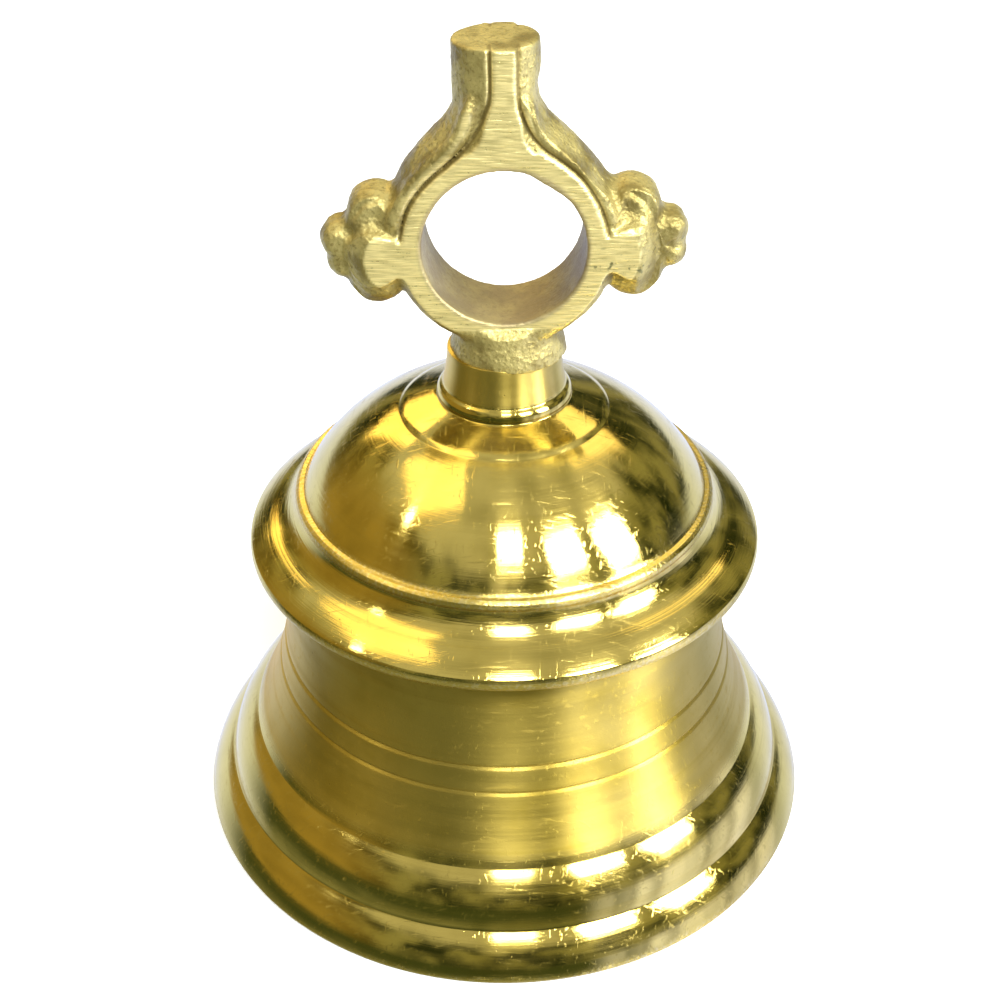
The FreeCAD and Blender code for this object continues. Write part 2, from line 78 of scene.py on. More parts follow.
INSIDE = [
    (4.5, 121.0, 0),
    (4.5, 103.5, 0),
    (13.6, 103.5, 0),
    (44.2, 80.0, -39.0),
    (46.4, 71.0, 0),
    (70.2, 0.0, 105.0),
]


def along_side(start, end, sweep, spacing):
    """Points after the start along a side; a positive sweep radius bulges out of the metal."""
    chord = math.dist(start, end)
    if not sweep:
        count = max(1, round(chord / spacing))
        return [(start[0] + (end[0] - start[0]) * i / count, start[1] + (end[1] - start[1]) * i / count)
                for i in range(1, count + 1)]
    reach = math.sqrt(sweep * sweep - chord * chord / 4) * math.copysign(1, sweep)
    left = (-(end[1] - start[1]) / chord, (end[0] - start[0]) / chord)
    centre = ((start[0] + end[0]) / 2 + left[0] * reach, (start[1] + end[1]) / 2 + left[1] * reach)
    turn = 2 * math.asin(chord / 2 / sweep)
    first = math.atan2(start[1] - centre[1], start[0] - centre[0])
    count = max(2, round(abs(turn * sweep) / spacing))
    return [(centre[0] + abs(sweep) * math.cos(first + turn * i / count),
             centre[1] + abs(sweep) * math.sin(first + turn * i / count)) for i in range(1, count + 1)]


def outline(start, sides, spacing, wear=CORNER_WEAR):
    """The points of a turned outline, with each sharp corner worn back by a hair."""
    points = [start]
    for across, up, sweep in sides:
        points += along_side(points[-1], (across, up), sweep, spacing)
    closed = math.dist(points[0], points[-1]) < 1e-6
    if closed:
        points.pop()
    worn = []
    for index, point in enumerate(points):
        before = points[index - 1]
        after = points[(index + 1) % len(points)]
        ends = not closed and index in (0, len(points) - 1)
        come = Vector((point[0] - before[0], point[1] - before[1]))
        go = Vector((after[0] - point[0], after[1] - point[1]))
        if ends or come.length < 1e-9 or go.length < 1e-9 or come.angle(go) < SHARP_TURN:
            worn.append(point)
            continue
        near = min(wear, come.length / 3, go.length / 3)
        here = Vector(point)
        first = here - come.normalized() * near
        last = here + go.normalized() * near
        middle = (first + last) / 4 + here / 2
        worn += [tuple(first), tuple(middle), tuple(last)]
    if closed:
        worn.append(worn[0])
    return worn


class Wire:
    """A socket of a node tree that can be used in plain sums; lay() puts down any other node."""

    def __init__(self, tree, socket=None):
        self.tree = tree
        self.socket = socket

    def lay(self, kind, settings=None, feeds=None, out=0):
        node = self.tree.nodes.new(kind)
        for name, value in (settings or {}).items():
            setattr(node, name, value)
        for key, value in (feeds or {}).items():
            if isinstance(value, Wire):
                self.tree.links.new(value.socket, node.inputs[key])
            elif isinstance(value, tuple) and len(value) == 3 and node.inputs[key].type == "RGBA":
                node.inputs[key].default_value = (*value, 1)
            else:
                node.inputs[key].default_value = value
        return Wire(self.tree, node.outputs[out] if node.outputs else None)

    def other(self, out):
        return Wire(self.tree, self.socket.node.outputs[out])

    def sum(self, operation, *terms):
        return self.lay("ShaderNodeMath", {"operation": operation}, dict(enumerate(terms)))

    def __add__(self, other):
        return self.sum("ADD", self, other)

    def __sub__(self, other):
        return self.sum("SUBTRACT", self, other)

    def __rsub__(self, other):
        return self.sum("SUBTRACT", other, self)

    def __mul__(self, other):
        return self.sum("MULTIPLY", self, other)

    def __truediv__(self, other):
        return self.sum("DIVIDE", self, other)

    def __pow__(self, other):
        return self.sum("POWER", self, other)

    def __gt__(self, other):
        return self.sum("GREATER_THAN", self, other)

    __radd__ = __add__
    __rmul__ = __mul__

    def rise(self, low, high, to_low=0.0, to_high=1.0):
        """Goes smoothly from to_low to to_high while this value goes from low to high."""
        return self.lay("ShaderNodeMapRange", {"interpolation_type": "SMOOTHSTEP"}, {
            "Value": self, "From Min": low, "From Max": high, "To Min": to_low, "To Max": to_high})

    def grain(self, scale, detail, **more):
        """Noise in this place, finer with a larger scale."""
        return self.lay("ShaderNodeTexNoise", feeds={
            "Vector": self, "Scale": scale, "Detail": detail, **more})

    def drawn_out(self, turn, stretch):
        """This place turned and stretched, so that a grain laid on it runs in streaks."""
        return self.lay("ShaderNodeMapping", feeds={"Vector": self, "Rotation": turn, "Scale": stretch})


THREAD_CORE = 0.002
SEAM = 2e-6


def lathe_tree():
    """Turns an outline of edges in the XZ plane about the Z axis, with an optional screw thread. A grid
    has a column for each step and a row for each point of the outline, and is bent round to them."""
    tree = bpy.data.node_groups.new("turn on the lathe", "GeometryNodeTree")
    face = tree.interface
    face.new_socket("Outline", in_out="INPUT", socket_type="NodeSocketGeometry")
    for name in ("Steps", "Points"):
        face.new_socket(name, in_out="INPUT", socket_type="NodeSocketInt")
    for name in ("Waver", "Waver Scale", "Seed", "Thread Pitch", "Thread Depth", "Thread From", "Thread To"):
        face.new_socket(name, in_out="INPUT", socket_type="NodeSocketFloat")
    face.new_socket("Finish", in_out="INPUT", socket_type="NodeSocketMaterial")
    face.new_socket("Turned", in_out="OUTPUT", socket_type="NodeSocketGeometry")
    given = Wire(tree).lay("NodeGroupInput")
    steps, points = given.other("Steps"), given.other("Points")
    sheet = given.lay("GeometryNodeMeshGrid", feeds={
        "Size X": 1.0, "Size Y": points - 1, "Vertices X": steps + 1, "Vertices Y": points})
    place = given.lay("ShaderNodeSeparateXYZ", feeds={0: given.lay("GeometryNodeInputPosition")})
    angle = (place + 0.5) * (2 * math.pi)
    row = given.sum("ROUND", place.other(1) + (points - 1) / 2)
    corner = given.lay("GeometryNodeSampleIndex", {"data_type": "FLOAT_VECTOR"}, {
        "Geometry": given, "Value": given.lay("GeometryNodeInputPosition"), "Index": row})
    corner = given.lay("ShaderNodeSeparateXYZ", feeds={0: corner})
    height = corner.other(2)
    turn_part = height / given.other("Thread Pitch") - angle / (2 * math.pi)
    ridge = given.sum("ABSOLUTE", given.sum("FRACT", turn_part) * 2 - 1)
    threaded = (height > given.other("Thread From")) * (given.other("Thread To") - height > 0)
    radius = corner - given.other("Thread Depth") * ridge * threaded * (corner > THREAD_CORE)
    turned = given.lay("ShaderNodeCombineXYZ", feeds={
        0: radius * given.sum("COSINE", angle), 1: radius * given.sum("SINE", angle), 2: height})
    solid = given.lay("GeometryNodeSetPosition", feeds={"Geometry": sheet, "Position": turned})
    solid = given.lay("GeometryNodeMergeByDistance", feeds={"Geometry": solid, "Distance": SEAM})
    spot = given.lay("ShaderNodeVectorMath", {"operation": "ADD"}, {
        0: given.lay("GeometryNodeInputPosition"), 1: given.other("Seed")})
    dents = spot.grain(given.other("Waver Scale"), 1.0)
    push = given.lay("ShaderNodeVectorMath", {"operation": "SCALE"}, {
        0: given.lay("GeometryNodeInputNormal"), "Scale": (dents - 0.5) * given.other("Waver")})
    solid = given.lay("GeometryNodeSetPosition", feeds={"Geometry": solid, "Offset": push})
    solid = given.lay("GeometryNodeRealizeInstances", feeds={"Geometry": solid})
    solid = given.lay("GeometryNodeSetMaterial", feeds={"Geometry": solid, "Material": given.other("Finish")})
    given.lay("NodeGroupOutput", feeds={0: solid})
    return tree


LATHE = lathe_tree()


def keep_mesh(shaped, name, turn_out=True):
    """The finished mesh of an object with its modifiers, as a new plain object."""
    bpy.context.view_layer.update()
    mesh = bpy.data.meshes.new_from_object(shaped.evaluated_get(bpy.context.evaluated_depsgraph_get()))
    rough_mesh = shaped.data
    bpy.data.objects.remove(shaped)
    if rough_mesh.users == 0:
        bpy.data.meshes.remove(rough_mesh)
    mesh.name = name
    if turn_out:
        shape = bmesh.new()
        shape.from_mesh(mesh)
        bmesh.ops.recalc_face_normals(shape, faces=shape.faces)
        shape.to_mesh(mesh)
        shape.free()
    mesh.shade_smooth()
    piece = bpy.data.objects.new(name, mesh)
    bpy.context.scene.collection.objects.link(piece)
    return piece


NO_THREAD = (1.0, 0.0, 0.0, 0.0)


def turned_piece(name, points, steps, finish, waver=0.0, waver_scale=60.0, seed=1.0, thread=NO_THREAD):
    """A piece turned from its outline in millimetres; thread is pitch, depth, from and to."""
    mesh = bpy.data.meshes.new(name + " outline")
    runs = [(i, i + 1) for i in range(len(points) - 1)]
    mesh.from_pydata([(r * MM, 0, z * MM) for r, z in points], runs, [])
    blank = bpy.data.objects.new(name + " blank", mesh)
    bpy.context.scene.collection.objects.link(blank)
    lathe = blank.modifiers.new("lathe", "NODES")
    lathe.node_group = LATHE
    pitch, depth, low, high = thread
    values = {"Steps": steps, "Points": len(points), "Waver": waver * MM, "Waver Scale": waver_scale,
              "Seed": seed, "Thread Pitch": pitch * MM, "Thread Depth": depth * MM, "Thread From": low * MM,
              "Thread To": high * MM, "Finish": finish}
    for socket in LATHE.interface.items_tree:
        if socket.name in values:
            lathe[socket.identifier] = values[socket.name]
    piece = keep_mesh(blank, name)
    piece.data.materials.clear()
    piece.data.materials.append(finish)
    return piece


def new_finish(name, **fixed):
    """A material with a metal shader whose even values are set on its own sockets."""
    finish = bpy.data.materials.new(name)
    finish.use_nodes = True
    finish.node_tree.nodes.clear()
    start = Wire(finish.node_tree)
    shader = start.lay("ShaderNodeBsdfPrincipled")
    for socket, value in fixed.items():
        shader.socket.node.inputs[socket.replace("_", " ")].default_value = value
    start.lay("ShaderNodeOutputMaterial", feeds={0: shader})
    return finish, start, shader.socket.node


def dye(wire, mask, plain, marked):
    """A colour that goes from plain to marked with the mask."""
    return wire.lay("ShaderNodeMix", {"data_type": "RGBA"}, {0: mask, 6: plain, 7: marked}, out=2)


def join_up(wire, value, shader, socket):
    wire.tree.links.new(value.socket, shader.inputs[socket])


BUFFED, TARNISHED = (0.74, 0.575, 0.15), (0.50, 0.37, 0.06)
SANDY, PITTED = (0.86, 0.76, 0.42), (0.20, 0.14, 0.04)
# Each zone of the finish fades in between two heights, or two radii, in metres.
WAIST_FOOT, WAIST_HEAD = (0.0215, 0.027), (0.0713, 0.0705)
BEAD_FOOT, BEAD_HEAD = (0.0832, 0.0842), (0.0876, 0.0864)
RIM_FOOT, RIM_HEAD, RIM_REACH = (0.0705, 0.0712), (0.0752, 0.0738), (0.0555, 0.0570)
COVE_FOOT, COVE_HEAD = (0.0745, 0.0765), (0.0845, 0.0830)
NECK_FOOT = (0.1115, 0.1135)
LIP_EDGE = (0.0030, 0.0008)


def make_turned_brass():
    """Buffed yellow brass: lathe lines round the axis, fine scratches, pits, and sand grain at its edges."""
    finish, wire, shader = new_finish("turned brass", Metallic=1.0, Anisotropic=0.95,
                                      Anisotropic_Rotation=0.25)
    place = wire.lay("ShaderNodeTexCoord", out="Object")
    part = wire.lay("ShaderNodeSeparateXYZ", feeds={0: place})
    x, y, z = part, part.other(1), part.other(2)
    radius = (x * x + y * y) ** 0.5
    around = wire.sum("ARCTAN2", y, x)
    ring_place = wire.lay("ShaderNodeCombineXYZ", feeds={0: radius, 1: around * 0.0006, 2: z})
    lines = ring_place.grain(2600.0, 3.0)
    bands = ring_place.grain(420.0, 4.0)
    clouds = place.grain(45.0, 4.0)
    scuffs = place.drawn_out((0.5, 0.9, 0.3), (1.0, 14.0, 6.0)).grain(110.0, 4.0)
    cross_scuffs = place.drawn_out((0.9, -0.4, 1.1), (16.0, 1.0, 9.0)).grain(90.0, 3.0)
    scratch = scuffs.rise(0.58, 0.72) + cross_scuffs.rise(0.60, 0.74)
    pits = wire.lay("ShaderNodeTexVoronoi", feeds={"Vector": place, "Scale": 330.0, "Randomness": 1.0})
    pit = pits.rise(0.08, 0.02) * clouds.rise(0.56, 0.66)
    grit = place.grain(1300.0, 4.0)
    waist = z.rise(*WAIST_FOOT) * z.rise(*WAIST_HEAD)
    bead_edge = z.rise(*BEAD_FOOT) * z.rise(*BEAD_HEAD)
    rim_edge = z.rise(*RIM_FOOT) * z.rise(*RIM_HEAD) * radius.rise(*RIM_REACH)
    cove = z.rise(*COVE_FOOT) * z.rise(*COVE_HEAD)
    neck = z.rise(*NECK_FOOT)
    coarse = (bead_edge + rim_edge + z.rise(*LIP_EDGE)) * clouds.rise(0.20, 0.52)
    rough = 0.12 + waist * 0.26 + neck * 0.24 + (lines - 0.5) * 0.12 + (bands - 0.5) * 0.14 + scratch * 0.09
    rough = rough + pit * 0.3 + coarse * 0.18
    join_up(wire, wire.sum("MAXIMUM", rough, 0.06), shader, "Roughness")
    tarnish = clouds.rise(0.45, 0.75) * 0.5 + bands.rise(0.55, 0.8) * 0.3 + waist * 0.55
    colour = dye(wire, tarnish, BUFFED, TARNISHED)
    colour = dye(wire, coarse * grit.rise(0.45, 0.65) * 0.5, colour, SANDY)
    colour = dye(wire, pit * 0.5, colour, PITTED)
    join_up(wire, colour, shader, "Base Color")
    relief = lines * (0.4 + cove * 1.2) + bands * (0.5 + waist * 0.5 + cove * 0.8)
    relief = relief + scratch * 0.35 - pit * 1.5 + coarse * grit * 4.0
    bump = wire.lay("ShaderNodeBump", feeds={"Strength": 0.4, "Distance": 0.00006, "Height": relief})
    join_up(wire, bump, shader, "Normal")
    return finish


TURNED_BRASS = make_turned_brass()

shell = turned_piece("bell_shell_turned", outline(LIP_INSIDE, OUTSIDE + INSIDE, SHELL_SPACING), SHELL_STEPS,
                     TURNED_BRASS, SHELL_WAVER, SHELL_WAVER_SCALE, SHELL_SEED)
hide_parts("bell_shell")
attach(shell, "root")

# --- Hanging ring -------------------------------------------------------------------------------------------
# The ring the bell hangs by: a separate rough sand casting in brass, with lobed ears and a sprue stub on
# top. Its two faces are filed flat, the rest keeps the grain of the sand, and the eye bolt pulls it down on
# the neck. Its sizes are in its own millimetres: across, through and up from its foot.

BLANK_VOXEL, RING_VOXEL = 0.6, 0.42
FILLET = 0.65
EASE_FACTOR, EASE_ROUNDS = 0.5, 5
RING_LEAN = math.radians(-1.8)
RING_SHIFT = 0.84
NECK_TOP = 121.0
FACE_DEPTH = 9.5
RING_HOLE_HEIGHT = 26.8
GROOVE_FLOOR = 7.8
BEAD_DEPTH, BEAD_RADIUS, BEAD_SIDES = 7.5, 1.55, 10
LEFT_RIB = [(-5.2, 58.5), (-6.3, 56.0), (-6.8, 54.0), (-8.2, 50.4), (-11.4, 46.9), (-15.4, 43.6),
            (-18.9, 39.6), (-21.6, 35.4), (-22.6, 31.5)]
RIGHT_RIB = [(4.9, 58.0), (5.7, 55.5), (6.9, 52.2), (8.9, 48.9), (12.2, 46.0), (15.9, 42.7), (18.9, 38.8),
             (21.1, 34.4), (22.2, 31.0)]
LEFT_EDGE = [(-1.6, 68.5), (-1.7, 58.4), (-2.9, 55.4), (-4.5, 51.5), (-7.2, 48.1), (-11.2, 44.8),
             (-15.6, 41.2), (-18.9, 36.9), (-20.6, 32.6), (-21.3, 29.4)]
RIGHT_EDGE = [(4.0, 68.8), (3.6, 58.2), (4.5, 54.2), (5.9, 51.0), (8.3, 47.9), (12.0, 45.3), (15.9, 41.9),
              (18.8, 37.4), (20.7, 32.8), (21.4, 29.4)]
EAR_LOBES = [((26.6, 2.0, 32.3), (6.0, 5.9, 6.0)), ((26.9, 2.4, 19.4), (6.2, 6.0, 6.2))]
TIP_LOBES = [((-34.3, 1.2, 26.8), (4.1, 4.6, 4.4)), ((34.4, 1.2, 27.6), (3.7, 4.4, 3.7)),
             ((-33.9, 1.0, 21.6), (3.2, 4.2, 3.2)), ((34.6, 1.0, 22.4), (3.6, 4.2, 3.6))]


def to_ring(points):
    """World metres to the ring's own millimetres, measured up from its foot."""
    x = points[:, 0] / MM - RING_SHIFT
    z = points[:, 2] / MM - NECK_TOP
    cos, sin = math.cos(RING_LEAN), math.sin(RING_LEAN)
    return np.column_stack((x * cos - z * sin, points[:, 1] / MM, x * sin + z * cos))


def from_ring(points):
    cos, sin = math.cos(RING_LEAN), math.sin(RING_LEAN)
    x, y, z = points.T
    return np.column_stack((x * cos + z * sin + RING_SHIFT, y, z * cos - x * sin + NECK_TOP)) * MM


def smooth_rise(value, low, high):
    part = np.clip((value - low) / (high - low), 0, 1)
    return part * part * (3 - 2 * part)


def gap_to_path(points, path):
    """How far each point's place in the ring's face is to the left of a path of straight runs."""
    flat = points[:, (0, 2)]
    best = np.full(len(points), 1e9)
    for start, end in zip(path, path[1:]):
        start, run = np.array(start), np.subtract(end, start)
        away = flat - start
        part = np.clip(away @ run / (run @ run), 0, 1)
        gap = np.hypot(*(away - part[:, None] * run).T)
        left = np.sign(run[0] * away[:, 1] - run[1] * away[:, 0])
        best = np.where(gap < np.abs(best), gap * left, best)
    return best


def bead(path, depth):
    """A round bead of metal laid along a path at a depth, thinner at its ends, as points and faces."""
    points, faces = [], []
    count = len(path)
    for index, (x, z) in enumerate(path):
        before, after = path[max(index - 1, 0)], path[min(index + 1, count - 1)]
        way = Vector((after[0] - before[0], after[1] - before[1])).normalized()
        swell = BEAD_RADIUS * min(1.0, 0.3 + 0.1 * min(index, count - 1 - index))
        for step in range(BEAD_SIDES):
            turn = 2 * math.pi * step / BEAD_SIDES
            across = math.cos(turn) * swell
            points.append((x - way.y * across, depth + math.sin(turn) * swell, z + way.x * across))
    for index in range(count - 1):
        for step in range(BEAD_SIDES):
            a = index * BEAD_SIDES + step
            b = index * BEAD_SIDES + (step + 1) % BEAD_SIDES
            faces.append((a, b, b + BEAD_SIDES, a + BEAD_SIDES))
    faces.append(tuple(reversed(range(BEAD_SIDES))))
    faces.append(tuple(range((count - 1) * BEAD_SIDES, count * BEAD_SIDES)))
    return points, faces


def lobe(centre, radii):
    """A round lump of metal, as points and faces."""
    ball = bmesh.new()
    bmesh.ops.create_icosphere(ball, subdivisions=3, radius=1.0)
    points = [tuple(centre[i] + vert.co[i] * radii[i] for i in range(3)) for vert in ball.verts]
    faces = [tuple(vert.index for vert in face.verts) for face in ball.faces]
    ball.free()
    return points, faces


def eased(path, rounds=2):
    """The path with its corners cut, so that beads run smoothly."""
    for _ in range(rounds):
        cut = [path[0]]
        for (x0, z0), (x1, z1) in zip(path, path[1:]):
            cut.append((0.75 * x0 + 0.25 * x1, 0.75 * z0 + 0.25 * z1))
            cut.append((0.25 * x0 + 0.75 * x1, 0.25 * z0 + 0.75 * z1))
        path = cut + [path[-1]]
    return path


def cast_ring():
    """The whole casting as one skin: the fixed frame's ring with beads and lobes melted into it. Swelling it,
    making one skin and shrinking it again leaves a fillet in every corner, as a sand mould does."""
    blank = bmesh.new()
    blank.from_mesh(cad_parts["hanging_ring"].data)
    bmesh.ops.remove_doubles(blank, verts=blank.verts, dist=1e-6)
    added = []
    for side in (-1, 1):
        added += [bead(eased(LEFT_RIB), side * BEAD_DEPTH), bead(eased(RIGHT_RIB), side * BEAD_DEPTH)]
        for hand in (-1, 1):
            added += [lobe((hand * x, side * y, z), radii) for (x, y, z), radii in EAR_LOBES]
        added += [lobe((x, side * y, z), radii) for (x, y, z), radii in TIP_LOBES]
    for points, faces in added:
        places = from_ring(np.array(points))
        verts = [blank.verts.new(place) for place in places]
        new_faces = [blank.faces.new([verts[i] for i in face]) for face in faces]
        bmesh.ops.recalc_face_normals(blank, faces=new_faces)
    mesh = bpy.data.meshes.new("ring blank")
    blank.to_mesh(mesh)
    blank.free()
    casting = bpy.data.objects.new("ring blank", mesh)
    bpy.context.scene.collection.objects.link(casting)
    for stage, (swell, voxel) in enumerate(((FILLET, BLANK_VOXEL), (-FILLET, RING_VOXEL))):
        grow = casting.modifiers.new(f"swell {stage}", "DISPLACE")
        grow.mid_level = 0.0
        grow.strength = swell * MM
        melt = casting.modifiers.new(f"melt {stage}", "REMESH")
        melt.mode = "VOXEL"
        melt.voxel_size = voxel * MM
    ease = casting.modifiers.new("ease", "SMOOTH")
    ease.factor = EASE_FACTOR
    ease.iterations = EASE_ROUNDS
    return keep_mesh(casting, "hanging_ring_casting", turn_out=False)


ring = cast_ring()


# Depths and reaches of the hand work, then the heights or reaches between which each zone fades in.
ARM_LEANNESS = 1.3
FOOT_SPREAD, FOOT_DROP, FOOT_PROUD, FACE_PROUD = 0.07, 0.9, 4.0, 0.1
CUT_WIDTH, CUT_DEPTH = 0.5, 0.7
ARM_BEAD_RADIUS, ARM_BEAD_HEIGHT, ARM_FALL = 1.7, 1.25, 1.7
EAR_CENTRE, EAR_LEFT, EAR_RIGHT, EAR_HEIGHT, EAR_FALL = (24.2, 24.8), 4.9, 4.0, 6.5, 5.0
STUB_FALL = 0.35
GRAIN_DEPTH, LUMP_DEPTH, FILE_DEPTH = 0.11, 0.20, 0.09
LEAN_FOOT, LEAN_HEAD, LEAN_REACH = (36, 42), (57, 63), (4, 10)
SPREAD_FADE, SPREAD_TOP, FOOT_SINK, FOOT_BLEND = (0.5, 7.0), 8, (0.4, 1.6), (4.0, 9.0)
ARM_FOOT, ARM_HEAD, ARM_BACK = (29, 34), (54, 59), (0.6, 4.2)
FACE_FOOT, FACE_FACING, FACE_BORDER = (8.0, 9.0), (0.72, 0.92), (0.2, 0.5)
STUB_FADE, STUB_CAP = (47, 58), (64.5, 66.5)
WALL_FADE, HOLE_RIM_FADE = (17.4, 18.2), (18.2, 19.5)


def beside(points, left_path, right_path):
    """How far each point is outside the left path or the right one, whichever is on its side."""
    left, right = gap_to_path(points, eased(left_path)), gap_to_path(points, eased(right_path))
    return np.where(points[:, 0] < 0, -left, right)


def file_and_grain(piece):
    """Files the faces flat, cuts the lines beside the flats and gives the rest its sand grain."""
    mesh = piece.data
    count = len(mesh.vertices)
    places = np.empty(count * 3)
    mesh.vertices.foreach_get("co", places)
    normals = np.empty(count * 3)
    mesh.vertices.foreach_get("normal", normals)
    normals = normals.reshape(-1, 3)
    ring_place = to_ring(places.reshape(-1, 3))
    x, y, z = ring_place.T
    side = np.sign(y)
    # The right arm and the right of the stub are leaner than the left.
    lean_arm = smooth_rise(z, *LEAN_FOOT) * (1 - smooth_rise(z, *LEAN_HEAD)) * smooth_rise(x, *LEAN_REACH)
    x = x - ARM_LEANNESS * lean_arm
    # The foot spreads to meet the neck flush.
    spread = 1 + FOOT_SPREAD * (1 - smooth_rise(z, *SPREAD_FADE)) * (z < SPREAD_TOP)
    x, y = x * spread, y * spread
    depth = np.abs(y)
    ring_place = np.column_stack((x, y, z))
    beyond = beside(ring_place, LEFT_EDGE, RIGHT_EDGE)
    edge = np.abs(beyond)
    rib = beside(ring_place, LEFT_RIB, RIGHT_RIB)
    face_on = smooth_rise(depth, 4.5, 6.5) * (z > 10)
    cut = np.exp(-(edge / CUT_WIDTH) ** 2) * face_on
    # Beside the flats a groove, a round bead and then the lower back of the arm.
    arm = face_on * smooth_rise(z, *ARM_FOOT) * (1 - smooth_rise(z, *ARM_HEAD)) * (beyond > 0)
    roundness = np.sqrt(np.clip(1 - (rib / ARM_BEAD_RADIUS) ** 2, 0, 1))
    arm_depth = GROOVE_FLOOR + ARM_BEAD_HEIGHT * roundness - ARM_FALL * smooth_rise(rib, *ARM_BACK)
    shaped = np.where(roundness > 0, arm_depth, np.minimum(depth, arm_depth))
    # The valley beside each bead is kept as a mask for painted shade in the colour.
    shade = arm * np.where(roundness > 0.1, 0.0, smooth_rise(3.0 - np.abs(rib), 0.0, 1.3))
    # The ears' bosses are filed flat only in their middle.
    ear_reach, ear_up = EAR_CENTRE
    ear = np.hypot((np.abs(x) - ear_reach) / np.where(x < 0, EAR_LEFT, EAR_RIGHT), (z - ear_up) / EAR_HEIGHT)
    ear_depth = FACE_DEPTH - EAR_FALL * np.clip(ear - 1, 0, 0.9) ** 1.3
    on_ear = np.abs(x) > ear_reach
    face_depth = FACE_DEPTH - STUB_FALL * smooth_rise(z, *STUB_FADE)
    near_face = smooth_rise(depth, face_depth - 0.75, face_depth - 0.35)
    flat = near_face * smooth_rise(np.abs(normals[:, 1]), *FACE_FACING) * smooth_rise(z, *FACE_FOOT)
    flat = flat * smooth_rise(edge, *FACE_BORDER) * np.where(on_ear, 1 - smooth_rise(ear, 0.92, 1.0), 1.0)
    # Sand grain, slow lumps and file strokes, each from fixed noise.
    grain, marks, lumps = np.empty(count), np.empty(count), np.empty(count)
    for index in range(count):
        px, py, pz = ring_place[index]
        grain[index] = noise.fractal(Vector((px, py, pz)) * 1.15, 1.0, 2.0, 3)
        lumps[index] = noise.noise(Vector((px, py, pz)) * 0.30)
        marks[index] = noise.noise(Vector((px * 0.10, side[index] * 3.0, pz * 1.25 + px * 0.04)))
    depth = depth + (face_depth - depth) * smooth_rise(flat, 0.1, 0.9)
    depth = depth + (shaped - depth) * arm
    depth = depth + flat * marks * FILE_DEPTH - cut * CUT_DEPTH
    depth = np.where(on_ear, np.minimum(depth, ear_depth), depth)
    ring_place[:, 1] = side * depth
    from_hole = np.hypot(x, z - RING_HOLE_HEIGHT)
    hole_wall = 1 - smooth_rise(from_hole, *WALL_FADE)
    by_hole = 1 - smooth_rise(from_hole, *HOLE_RIM_FADE)
    rough = (1 - flat) * (1 - 0.75 * by_hole) * (1 - 0.75 * smooth_rise(z, *STUB_CAP))
    push = (grain * GRAIN_DEPTH + lumps * LUMP_DEPTH) * rough
    cos, sin = math.cos(RING_LEAN), math.sin(RING_LEAN)
    turned = np.column_stack((normals[:, 0] * cos - normals[:, 2] * sin, normals[:, 1],
                              normals[:, 0] * sin + normals[:, 2] * cos))
    ring_place = ring_place + turned * push[:, None]
    # The foot's underside sinks a little into the neck, and above the foot nothing stands out of the faces.
    ring_place[:, 2] -= FOOT_DROP * (1 - smooth_rise(ring_place[:, 2], *FOOT_SINK))
    most = FACE_DEPTH + FACE_PROUD + FOOT_PROUD * (1 - smooth_rise(ring_place[:, 2], *FOOT_BLEND))
    ring_place[:, 1] = np.clip(ring_place[:, 1], -most, most)
    mesh.vertices.foreach_set("co", from_ring(ring_place).ravel())
    # The cut lines and the bead valleys together mark where the colour gets painted shade.
    cut_line = np.maximum(cut, shade * 0.6)
    for name, values in (("filed", flat), ("cut_line", cut_line), ("hole_wall", hole_wall)):
        attribute = mesh.attributes.new(name, "FLOAT", "POINT")
        attribute.data.foreach_set("value", values.astype(np.float32))
    mesh.update()


file_and_grain(ring)


RAW, RAW_DULL, SAND_DARK = (0.53, 0.45, 0.17), (0.25, 0.20, 0.06), (0.22, 0.175, 0.055)
FILED, HOLE_WALL = (0.97, 0.83, 0.38), (0.30, 0.24, 0.14)
# The first colour below is painted shade for the ring's grooves; the second is a real green stain.
GROOVE_PAINTED_SHADE, VERDIGRIS = (0.20, 0.15, 0.045), (0.08, 0.10, 0.04)
STAIN_REACH, STAIN_HEAD, STAIN_FOOT = (0.016, 0.020), (0.150, 0.146), (0.136, 0.141)


